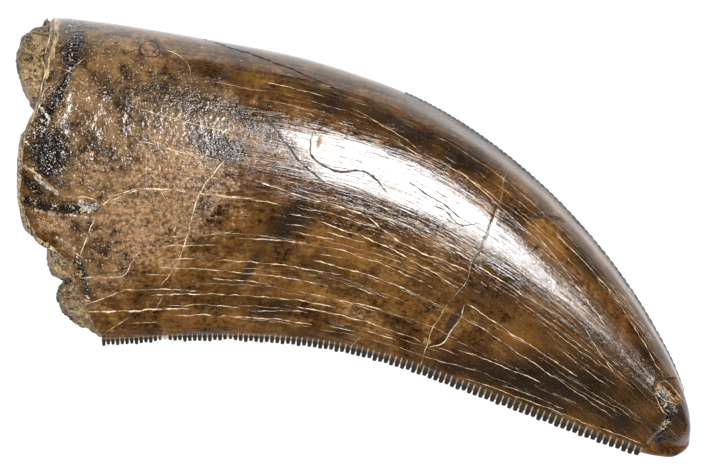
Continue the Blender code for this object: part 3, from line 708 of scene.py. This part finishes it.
def banded(place, bands):
    """How strongly a list of soft-edged bands covers each place."""
    cover = np.zeros(len(place))
    for half_width, line in bands:
        cover = np.maximum(cover, np.exp(-(distance_to(place, line) / half_width) ** 2))
    return cover


def paint_crown(piece, s, t, side, slit, serrated):
    """Keeps on the crown where its colour and finish change, where highlights are painted, and which way
    its fibres flow.
    """
    place = np.array([vertex.co[:] for vertex in piece.data.vertices]) / MILLIMETRE
    narrowing = (width(s) / width(np.zeros(1))[0]) ** 0.8
    store(piece, "flow", np.column_stack([s * 55.0, (t - 0.35) * 20.0 * narrowing, side * 20.0]))
    near = (side > 0).astype(float)
    wander = np.column_stack([place[:, :2] * 0.45, side * 3.0])
    shift = np.column_stack([noise_at(wander, 1.0), noise_at(wander, 2.0)])
    moved = place[:, :2] + shift * 0.5
    still = place[:, :2] + shift * 0.12
    masks = {
        "smoke": blots(moved, SMOKE), "amber": blots(moved, AMBER), "mauve": blots(moved, MAUVE),
        "grain": np.minimum(blots(moved, GRAIN), 1.0), "ochre": blots(still, OCHRE),
        "soot": np.maximum(blots(still, SOOT_BLOTS), banded(still, SOOT_BANDS)),
        # The white mask holds painted highlights and glints by the notch.
        "cream": banded(still, CREAM_BANDS), "white": banded(still, GLINT_BANDS),
    }
    for name, mask in masks.items():
        store(piece, name, mask * near)
    store(piece, "slit", slit)
    store(piece, "serrated", serrated)


def make_crown(material):
    """The crown, its serrated edges and its broken rim."""
    skin = Skin()
    rows = crown_rows()
    tip_place = MESIAL.at(np.array([1.0]))[0]
    stitched = []
    for row in rows:
        s, t, points, slit, on = row.places()
        numbers = skin.add(points, zip(s, t, np.full_like(s, row.side), slit, on))
        stitched.append([(place, number) for place, number in zip(s, numbers)])
    tip = skin.add([(*tip_place, float(HEIGHT.at(1.0)))], [(1.0, 0.5, 1.0, 0.0, 0.0)])[0]
    stitched = [row + [(1.0, tip)] for row in stitched]
    for row_a, row_b in zip(stitched, stitched[1:] + stitched[:1]):
        skin.stitch(row_a, row_b)
    outline = [row[0][1] for row in stitched]
    sections = [(row, float(row.across(np.array([row.start()]))[0])) for row in rows]
    ring = outline
    for depth, scale_t, scale_z in RIM_RINGS:
        points = []
        for row, t in sections:
            ragged = RIM_RAGGEDNESS * noise.noise(Vector((t * 30.0, depth * 2.0, row.side)))
            along = np.array([float(MARGINS[row.side].at(t)) + (depth + ragged)])
            at = np.array([t if row.turn is None else round(t)])
            points.append(base_point(along, at, row.side, scale_t, scale_z)[0])
        values = [(0.02, t, row.side, 0.0, 0.0) for row, t in sections]
        inner = skin.add(points, values)
        for k in range(len(ring)):
            after = (k + 1) % len(ring)
            skin.faces.append((ring[k], inner[k], inner[after]))
            skin.faces.append((ring[k], inner[after], ring[after]))
        ring = inner
    piece = skin.finish("crown", material)
    s, t, side, slit, on = np.array(skin.values).T
    paint_crown(piece, s, t, side, slit, on)
    rim_first = len(skin.points) - len(RIM_RINGS) * len(outline)
    dentine = np.zeros(len(skin.points))
    dentine[rim_first:] = 1.0
    dentine[np.array(outline)] = 0.6
    store(piece, "dentine", dentine)
    return piece


def make_plug(material):
    """The sediment plug's lumpy face, from its rim to the middle line."""
    noise.seed_set(PLUG_SEED)
    skin = Skin()
    t = np.linspace(0.0, 1.0, PLUG_TURNS)
    rim_along = PLUG.at(t) + np.where((t > 0.0) & (t < 1.0), PLUG_CROWN, 0.4 * PLUG_CROWN)
    lines = []
    for side in (1, -1):
        margin = MARGINS[side].at(t)
        free = smoothstep(0.1, 0.8, margin - rim_along)
        outer = base_point(rim_along, t, side, *PLUG_SPREAD)
        inner = base_point(rim_along, t, side, *PLUG_HELD)
        rim = inner + (outer - inner) * free[:, None]
        middle = base_point(PLUG.at(t), t, side, PLUG_SPREAD[0], 0.0)
        under_notch = smoothstep(0.38, 0.46, t) * (1.0 - smoothstep(0.62, 0.70, t)) * (side > 0)
        foot = PLUG_FOOT - NOTCH_ROOM * under_notch
        buried = base_point(np.maximum(rim_along, margin) + PLUG_BURIAL, t, side, PLUG_HELD[0], foot)
        shells = [buried, rim]
        for share in np.arange(1, PLUG_SHELLS + 1) / PLUG_SHELLS:
            points = rim + (middle - rim) * share
            curve = math.sqrt(1.0 - (1.0 - share) ** 2)
            points[:, 0] -= PLUG_DOME * math.sin(share * math.pi) ** 0.7 * curve
            shells.append(points)
        lines.append(shells)
    for shells in lines:
        rows = []
        for level, points in enumerate(shells):
            amount = 0.0 if level == 0 else PLUG_ROUGHNESS
            coarse, fine, grit = [
                np.array([noise.noise_vector(Vector(point) * rate)[:] for point in points])
                for rate in (0.9, 2.3, 6.0)]
            moved = points + (coarse + fine * 0.6 + grit * 0.3) * amount
            rows.append(list(zip(t, skin.add(moved))))
        for row_a, row_b in zip(rows, rows[1:]):
            skin.stitch(row_a, row_b)
    return skin.finish("plug", material)


def from_thousandths(size, *spots):
    """A crack whose places were given in thousandths of s and t."""
    return size, [(s / 1000, t / 1000) for s, t in spots]


def crack_lines():
    """Every pale crack: a width, then s and t along it. Fine ones lie between the main ones."""
    lines = [from_thousandths(size, (s0, t0), (s1, t1)) for s0, t0, s1, t1, size in RUNNING_CRACKS]
    lines += [from_thousandths(size, *spots) for size, spots in BENT_CRACKS]
    dice = np.random.default_rng(11)
    for _ in range(FINE_CRACKS):
        s0 = dice.uniform(0.22, 0.84)
        t0 = dice.uniform(0.46, 0.96) if dice.uniform() < 0.75 else dice.uniform(0.10, 0.20)
        reach = dice.uniform(0.05, 0.20)
        slope = dice.normal(0.0, 0.05)
        lines.append((dice.uniform(0.3, 0.55), [(s0, t0), (min(s0 + reach, 0.94), t0 + slope * reach)]))
    return lines


def dark_lines():
    """Every open crack, drawn as painted shade. Fine ones cross the glossy band."""
    lines = [from_thousandths(DARK_WIDENING * size, *spots) for size, spots in DARK_CRACKS]
    dice = np.random.default_rng(5)
    for _ in range(GLOSS_CRACKS):
        s0 = dice.uniform(0.36, 0.80)
        t0 = dice.uniform(0.22, 0.46) + 0.12 * max(s0 - 0.6, 0.0)
        reach = dice.uniform(0.02, 0.09)
        slope = dice.normal(0.1, 0.15)
        lines.append((dice.uniform(0.3, 0.75), [(s0, t0), (s0 + reach, t0 + slope * reach)]))
    return lines


def on_crown(spots):
    """The fractions s and t at places in plan."""
    places = np.array(spots, float) - np.array(CENTRING)
    mesh = np.meshgrid(np.linspace(0.0, 0.99, 100), np.linspace(0.0, 1.0, 51))
    s_grid, t_grid = [values.ravel() for values in mesh]
    grid = plan(s_grid, t_grid)
    nearest = np.array([np.argmin(((grid - place) ** 2).sum(axis=1)) for place in places])
    s, t = s_grid[nearest], t_grid[nearest]
    for _ in range(4):
        ds, dt = flow_step(s, t, places - plan(s, t))
        s, t = np.clip(s + ds, 0.0, 0.99), np.clip(t + dt, 0.0, 1.0)
    return list(zip(s, t))


def placed(lines):
    """Lines in plan carried over to s and t."""
    return [(size, on_crown(spots)) for size, spots in lines]


def make_cracks(name, lines, material, lift, seed):
    """Thin ribbons on the near wall, uneven in width and broken here and there."""
    skin = Skin()
    for index, (size, knots) in enumerate(lines):
        middle = np.array(knots, float)
        if len(knots) > 2:
            middle = smooth_curve(knots, 8)
        spots = plan(middle[:, 0], middle[:, 1])
        travel = np.concatenate([[0.0], np.cumsum(np.linalg.norm(spots[1:] - spots[:-1], axis=1))])
        steps = max(int(travel[-1] / CRACK_STEP), 3)
        goal = np.linspace(0.0, travel[-1], steps)
        s = np.interp(goal, travel, middle[:, 0])
        t = np.interp(goal, travel, middle[:, 1])
        key = seed + index * 0.37
        wobble, jag, shake, swell, gaps = [
            noise_at(np.column_stack([goal * rate, goal * 0.0 + key, goal * 0.0]), float(order))
            for order, rate in enumerate(CRACK_WAVES, start=1)]
        along = np.gradient(plan(s, t), axis=0)
        square = np.stack([-along[:, 1], along[:, 0]], axis=-1)
        square /= np.maximum(np.linalg.norm(square, axis=-1, keepdims=True), 1e-9)
        taper = np.minimum(1.0, np.minimum(goal, travel[-1] - goal) / 0.6 + 0.12)
        half = 0.5 * CRACK_WIDTH * size * taper * np.clip(0.9 + 0.9 * swell, 0.45, 1.5)
        half *= 1.0 - 0.35 * smoothstep(0.5, 0.8, s)
        if size < UNBROKEN:
            half *= smoothstep(-0.66, -0.52, gaps)
        shift = CRACK_WOBBLE * (2.0 * wobble + 1.0 * jag + 0.5 * shake) * min(travel[-1] / 3.0, 1.0)
        sides = []
        for edge in (-1.0, 1.0):
            offset = square * (shift + edge * half)[:, None]
            ds, dt = flow_step(s, t, offset)
            sides.append(crown_surface(np.clip(s + ds, 0.0, 0.995), np.clip(t + dt, 0.0, 1.0), 1))
        points = np.vstack(sides)
        points[:, 2] += lift
        numbers = skin.add(points)
        for k in range(steps - 1):
            if half[k] + half[k + 1] > 0.004:
                a, b, c, d = k, k + 1, steps + k + 1, steps + k
                skin.faces.append((numbers[a], numbers[b], numbers[c]))
                skin.faces.append((numbers[a], numbers[c], numbers[d]))
    return skin.finish(name, material)


def flow_step(s, t, offset):
    """How far s and t move for a small step in plan."""
    small = 0.002
    along = (plan(np.minimum(s + small, 1.0), t) - plan(s - small, t)) / (2.0 * small)
    across = DISTAL.at(s) - MESIAL.at(s)
    area = along[:, 0] * across[:, 1] - along[:, 1] * across[:, 0]
    ds = (offset[:, 0] * across[:, 1] - offset[:, 1] * across[:, 0]) / area
    dt = (along[:, 0] * offset[:, 1] - along[:, 1] * offset[:, 0]) / area
    return ds, dt


class Look:
    """A material in the making."""

    def __init__(self, name):
        self.material = bpy.data.materials.new(name)
        self.material.use_nodes = True
        self.tree = self.material.node_tree
        self.shader = self.tree.nodes["Principled BSDF"]

    def put(self, socket, value):
        if isinstance(value, bpy.types.NodeSocket):
            self.tree.links.new(value, socket)
        elif isinstance(value, tuple) and len(value) == 3 and socket.type == "RGBA":
            socket.default_value = (*value, 1.0)
        else:
            socket.default_value = value

    def set(self, **inputs):
        for name, value in inputs.items():
            self.put(self.shader.inputs[name.replace("_", " ")], value)

    def node(self, kind, inputs, output=0, **settings):
        """The output of a new node, once its settings and inputs are filled in."""
        node = self.tree.nodes.new("ShaderNode" + kind)
        for name, value in settings.items():
            setattr(node, name, value)
        for name, value in inputs.items():
            self.put(node.inputs[name], value)
        return node.outputs[output]

    def attribute(self, name, output="Fac"):
        return self.node("Attribute", {}, output, attribute_name=name)

    def place(self):
        return self.node("TexCoord", {}, "Object")

    def scaled(self, vector, scale):
        return self.node("VectorMath", {0: vector, 1: scale}, operation="MULTIPLY")

    def noise(self, vector, scale, detail=3.0, rough=0.5, warp=0.0, output="Fac"):
        inputs = {"Vector": vector, "Scale": scale, "Detail": detail, "Roughness": rough,
                  "Distortion": warp}
        return self.node("TexNoise", inputs, output)

    def math(self, operation, a, b=0.0):
        return self.node("Math", {0: a, 1: b}, operation=operation)

    def times(self, a, b):
        return self.math("MULTIPLY", a, b)

    def plus(self, first, *others):
        total = first
        for other in others:
            total = self.math("ADD", total, other)
        return total

    def span(self, value, low, high, to_low=0.0, to_high=1.0):
        """Carries a value smoothly from one range to another, held at its ends."""
        inputs = dict(enumerate((value, low, high, to_low, to_high)))
        return self.node("MapRange", inputs, interpolation_type="SMOOTHSTEP")

    def mix(self, factor, a, b):
        return self.node("Mix", {0: factor, 6: a, 7: b}, 2, data_type="RGBA")

    def ramp(self, value, low, high, a, b):
        """One colour below a range of the value and another above it."""
        return self.mix(self.span(value, low, high), a, b)

    def layered(self, colour, layers):
        """A colour with others laid over it: where each lies, how strong it is, and its colour."""
        for cover, share, over in layers:
            colour = self.mix(self.times(cover, share), colour, over)
        return colour

    def blend(self, factor, a, b):
        return self.node("Mix", {0: factor, 2: a, 3: b})

    def bumps(self, *layers):
        """Fine relief in layers: what gives the height, its reach in millimetres, its strength."""
        normal = None
        for height, reach, strength in layers:
            inputs = {"Height": height, "Distance": reach * MILLIMETRE, "Strength": strength}
            if normal is not None:
                inputs["Normal"] = normal
            normal = self.node("Bump", inputs)
        return normal


def enamel_look():
    """Glossy fossil enamel: amber and brown, smoked black in places, grained near the base, with painted
    highlights and glints near the base.
    """
    look = Look("enamel_skin")
    flow = look.attribute("flow", "Vector")
    place = look.place()
    cloud = look.noise(place, 260.0, 5.0, 0.62, 0.6)
    mottle = look.noise(place, 950.0, 4.0, 0.62, 0.4)
    grit = look.noise(place, 3400.0, 3.0, 0.68)
    speck = look.noise(place, 7000.0, 2.0, 0.6)
    dust = look.noise(place, 6200.0, 2.0, 0.6)
    streak = look.noise(look.scaled(flow, (0.30, 4.2, 1.0)), 1.0, 4.0, 0.6)
    fibre = look.noise(look.scaled(flow, (0.8, 11.0, 1.0)), 1.0, 2.0, 0.5)
    uneven = look.plus(mottle, grit, -1.0)

    def mask(name, low, high, ragged=1.0):
        """Where a stain lies, ragged at its edge and clear of all beyond it."""
        cover = look.attribute(name)
        stain = look.span(look.plus(cover, look.times(uneven, ragged)), low, high)
        return look.times(stain, look.span(cover, 0.04, 0.22))

    tone = look.plus(look.times(cloud, 0.32), look.times(mottle, 0.26), look.times(grit, 0.24),
                     look.times(streak, 0.18))
    brown = look.ramp(tone, 0.41, 0.50, (0.0080, 0.0036, 0.0014), (0.040, 0.0174, 0.0046))
    brown = look.ramp(tone, 0.50, 0.59, brown, (0.105, 0.051, 0.0138))

    grain = mask("grain", 0.3, 0.8, 1.2)
    soot = mask("soot", 0.34, 0.62, 2.2)
    ochre = mask("ochre", 0.25, 0.75)
    serrated = look.span(look.plus(mottle, -0.5, look.attribute("serrated")), 0.15, 0.6)
    dentine = look.attribute("dentine")
    patches = look.plus(mottle, look.times(cloud, 0.6))
    glint_spots = look.plus(dust, look.times(mottle, 0.7))
    threads = look.noise(look.scaled(place, (6200.0, 1300.0, 1300.0)), 1.0, 3.0, 0.6, 0.6)

    hairline = look.noise(look.scaled(flow, (0.10, 2.6, 1.0)), 1.0, 2.0, 0.4)
    near_zero = look.math("ABSOLUTE", look.plus(hairline, -0.5))
    broken = look.span(look.noise(look.scaled(flow, (0.3, 1.2, 1.0)), 1.0, 1.0), 0.50, 0.58)
    crack = look.times(look.span(near_zero, 0.001, 0.006, 1.0, 0.0), broken)
    crack = look.times(crack, look.math("SUBTRACT", 1.0, grain))

    brown = look.layered(brown, (
        (mask("amber", 0.15, 0.95), 0.62, look.mix(grit, (0.062, 0.026, 0.005), (0.150, 0.069, 0.015))),
        (grain, 0.68, look.ramp(patches, 0.64, 0.98, (0.014, 0.009, 0.005), (0.130, 0.077, 0.033))),
        (mask("mauve", 0.2, 0.9), 0.7,
         look.ramp(grit, 0.40, 0.58, (0.060, 0.031, 0.012), (0.205, 0.118, 0.060))),
        (mask("smoke", 0.16, 0.92, 1.4), 0.88, (0.0080, 0.0054, 0.0036)),
        (look.span(dust, 0.58, 0.68), look.blend(grain, 0.20, 0.32), (0.010, 0.006, 0.004)),
        # Pale specks, faint on polished enamel and strong in the pebbled zone, where they are partly
        # painted glints.
        (look.span(speck, 0.60, 0.69), look.blend(grain, 0.07, 0.75), (0.33, 0.25, 0.17)),
        (look.span(fibre, 0.62, 0.72), 0.30, (0.013, 0.008, 0.005)),
        (crack, 0.35, (0.18, 0.11, 0.05)),
        # Black, with painted glints where the glint spots peak.
        (soot, 0.96, look.ramp(glint_spots, 0.94, 1.02, (0.0045, 0.0040, 0.0045), (0.28, 0.22, 0.12))),
        (ochre, 0.85, look.ramp(grit, 0.4, 0.6, (0.060, 0.024, 0.008), (0.24, 0.125, 0.044))),
        (mask("cream", 0.25, 0.6), 0.95,
         look.ramp(threads, 0.38, 0.62, (0.035, 0.021, 0.010), (0.30, 0.205, 0.098))),
        # Painted highlights and glints on the facets and the enamel scale by the notch.
        (mask("white", 0.30, 0.6), 0.9,
         look.ramp(threads, 0.38, 0.62, (0.10, 0.085, 0.07), (0.36, 0.33, 0.29))),
        (serrated, 0.92, look.mix(grit, (0.0040, 0.0032, 0.0026), (0.015, 0.0105, 0.0070))),
        (look.span(look.attribute("slit"), 0.22, 0.55), 1.0,
         look.ramp(mottle, 0.40, 0.56, (0.10, 0.080, 0.050), (0.22, 0.175, 0.11))),
        (dentine, 1.0, look.ramp(speck, 0.42, 0.58, (0.07, 0.042, 0.020), (0.33, 0.25, 0.15))),
    ))

    polished = look.span(fibre, 0.3, 0.7, 0.05, 0.10)
    rough = look.blend(grain, polished, look.span(speck, 0.35, 0.65, 0.12, 0.19))
    for cover, roughness in ((soot, 0.08), (dentine, 0.6), (ochre, 0.45), (serrated, 0.5)):
        rough = look.blend(cover, rough, roughness)
    dull = look.math("MAXIMUM", look.math("MAXIMUM", serrated, ochre), dentine)
    coat = look.times(look.math("SUBTRACT", 1.0, dull), look.blend(grain, 0.25, 0.35))
    pebbles = look.times(look.noise(place, 3100.0, 2.0, 0.5), grain)
    glitter = look.times(look.noise(place, 2300.0, 2.0, 0.5), soot)
    normal = look.bumps((streak, 0.055, 0.6), (fibre, 0.020, 0.9), (grit, 0.016, 0.6),
                        (look.times(crack, -1.0), 0.03, 0.6), (pebbles, 0.046, 1.0), (glitter, 0.24, 1.0))
    look.set(Base_Color=brown, Roughness=rough, Normal=normal, Coat_Weight=coat)
    look.set(IOR=1.5, Coat_Roughness=0.07)
    return look.material


def sediment_look():
    """Hard tan and olive sediment, granular, with dark grains in ochre seams."""
    look = Look("sediment_skin")
    place = look.place()
    cloud = look.noise(place, 420.0, 4.0, 0.6)
    speck = look.noise(place, 5200.0, 3.0, 0.65)
    grit = look.noise(place, 1700.0, 4.0, 0.7, 0.5)
    kind = look.noise(place, 1000.0, 2.0, 0.5)
    drift = look.scaled(look.noise(place, 900.0, 3.0, 0.6, output="Color"), (1.3, 1.3, 1.3))
    bent = look.node("VectorMath", {0: look.scaled(place, (1000.0, 1000.0, 1000.0)), 1: drift})
    seam = look.node("TexVoronoi", {"Vector": bent, "Scale": 0.80}, "Distance",
                     feature="DISTANCE_TO_EDGE")
    tone = look.ramp(cloud, 0.42, 0.60, (0.064, 0.040, 0.015), (0.27, 0.178, 0.078))
    tone = look.layered(tone, (
        (look.span(grit, 0.47, 0.56), 1.0,
         look.ramp(kind, 0.47, 0.53, (0.020, 0.016, 0.012), (0.175, 0.092, 0.034))),
        (look.span(seam, 0.05, 0.15, 0.5, 0.0), 1.0, (0.035, 0.023, 0.011)),
        (look.span(seam, 0.012, 0.040, 0.65, 0.0), 1.0, (0.36, 0.25, 0.105)),
        (look.span(speck, 0.60, 0.70), 1.0, (0.018, 0.012, 0.007)),
        (look.span(speck, 0.30, 0.40, 0.7, 0.0), 1.0, (0.30, 0.24, 0.15)),
    ))
    normal = look.bumps((seam, 0.45, 0.8), (grit, 0.50, 1.0), (speck, 0.06, 0.8))
    look.set(Base_Color=tone, Roughness=look.span(grit, 0.4, 0.6, 0.22, 0.5), Normal=normal)
    return look.material


def crack_look(name, stained, clean):
    """Mineral that fills the cracks, stained here and there."""
    look = Look(name)
    stain = look.noise(look.place(), 1500.0, 3.0, 0.6)
    look.set(Base_Color=look.ramp(stain, 0.38, 0.62, stained, clean), Roughness=0.55)
    return look.material


def shadow_look():
    """Painted shade: the darkness inside an open crack and under the notch's lip, also the colour of a few
    black marks.
    """
    look = Look("crack_shadow")
    look.set(Base_Color=(0.005, 0.004, 0.004), Roughness=0.6)
    return look.material


def table_look():
    """A white light table: its glow leaves almost no shadow round the tooth."""
    look = Look("table_top")
    look.set(Base_Color=TABLE_SHADE, Roughness=0.9)
    look.set(Emission_Color=(1.0, 1.0, 1.0), Emission_Strength=TABLE_GLOW)
    return look.material


def make_floor(material):
    """The pale table, a hair below the tooth."""
    data = bpy.data.meshes.new("table")
    corners = [(-1, -1), (1, -1), (1, 1), (-1, 1)]
    data.from_pydata([(x * TABLE_HALF, y * TABLE_HALF, 0.0) for x, y in corners], [], [(0, 1, 2, 3)])
    data.materials.append(material)
    piece = bpy.data.objects.new("table", data)
    piece.location.z = -TABLE_GAP
    bpy.context.scene.collection.objects.link(piece)
    return piece


def light_the_scene():
    """An even glow from all round, and one soft box overhead for the bright band."""
    world = bpy.data.worlds.new("room")
    bpy.context.scene.world = world
    world.use_nodes = True
    background = world.node_tree.nodes["Background"]
    background.inputs["Color"].default_value = (1.0, 1.0, 1.0, 1.0)
    background.inputs["Strength"].default_value = ROOM_LIGHT
    world.cycles_visibility.glossy = False
    data = bpy.data.lights.new("key", "AREA")
    data.shape = "RECTANGLE"
    data.size, data.size_y = KEY_SIZE
    data.energy = KEY_POWER
    light = bpy.data.objects.new("key", data)
    light.location = KEY_PLACE
    bpy.context.scene.collection.objects.link(light)


def make_camera():
    """A long lens straight above the tooth."""
    data = bpy.data.cameras.new("camera")
    data.lens = LENS
    data.clip_start = 0.01
    camera = bpy.data.objects.new("camera", data)
    distance = FIELD * LENS / data.sensor_width
    camera.location = (0.0, CAMERA_SHIFT, FOCUS_HEIGHT + distance)
    bpy.context.scene.collection.objects.link(camera)
    bpy.context.scene.camera = camera


def main():
    crown = make_crown(enamel_look())
    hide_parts("tooth")
    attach(crown, "root")
    cream = crack_look("crack_fill", (0.13, 0.070, 0.030), (0.42, 0.33, 0.215))
    rust = crack_look("rusty_crack_fill", (0.10, 0.045, 0.014), (0.32, 0.20, 0.090))
    # Pale lines: filled cracks, and one painted highlight along the rim of the enamel scale below the
    # notch.
    pale_lines = crack_lines() + placed(PALE_LINES)
    black_lines = dark_lines() + placed(DARK_LINES)
    pale = make_cracks("pale_cracks", pale_lines, cream, lift=0.008, seed=1.0)
    ochre = make_cracks("ochre_cracks", placed(OCHRE_LINES), rust, lift=0.010, seed=5.0)
    # Painted shade in the open cracks and under the notch's lip, with a few black marks.
    dark = make_cracks("dark_cracks", black_lines, shadow_look(), lift=0.006, seed=9.0)
    for crack, slot in ((pale, "sediment"), (ochre, "sediment"), (dark, "enamel")):
        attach(crack, "root")
    plug = make_plug(sediment_look())
    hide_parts("matrix_fill")
    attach(plug, "root")
    make_floor(table_look())
    light_the_scene()
    make_camera()
    bpy.context.scene.view_settings.view_transform = "Standard"


main()
